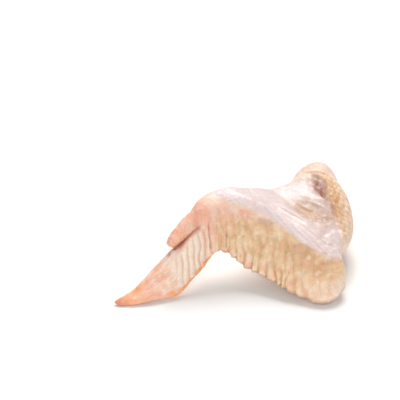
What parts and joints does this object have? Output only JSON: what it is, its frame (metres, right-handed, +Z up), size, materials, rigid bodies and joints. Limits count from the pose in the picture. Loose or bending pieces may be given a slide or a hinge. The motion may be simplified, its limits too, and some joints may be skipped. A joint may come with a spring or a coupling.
{
  "type": "raw chicken wing",
  "caption": "Whole raw chicken wing with its skin on: upper arm, web, forearm, thumb and pointed hand in one bent piece that arches over the surface it rests on.",
  "frame": {"origin": "Middle of the bounding box in X and Y, on the surface that the wing rests on.", "axes": "X runs from the tip to the elbow, Y from the trailing edge in front to the shoulder at the back, Z up. The wing rests on its tip, its elbow and its shoulder end."},
  "size_m": [0.146, 0.109, 0.0525],
  "materials": {
    "skin": "moist raw poultry skin, pale with cream, lilac and peach areas"
  },
  "bodies": {
    "root": {"wing": "skin"}
  },
  "joints": []
}
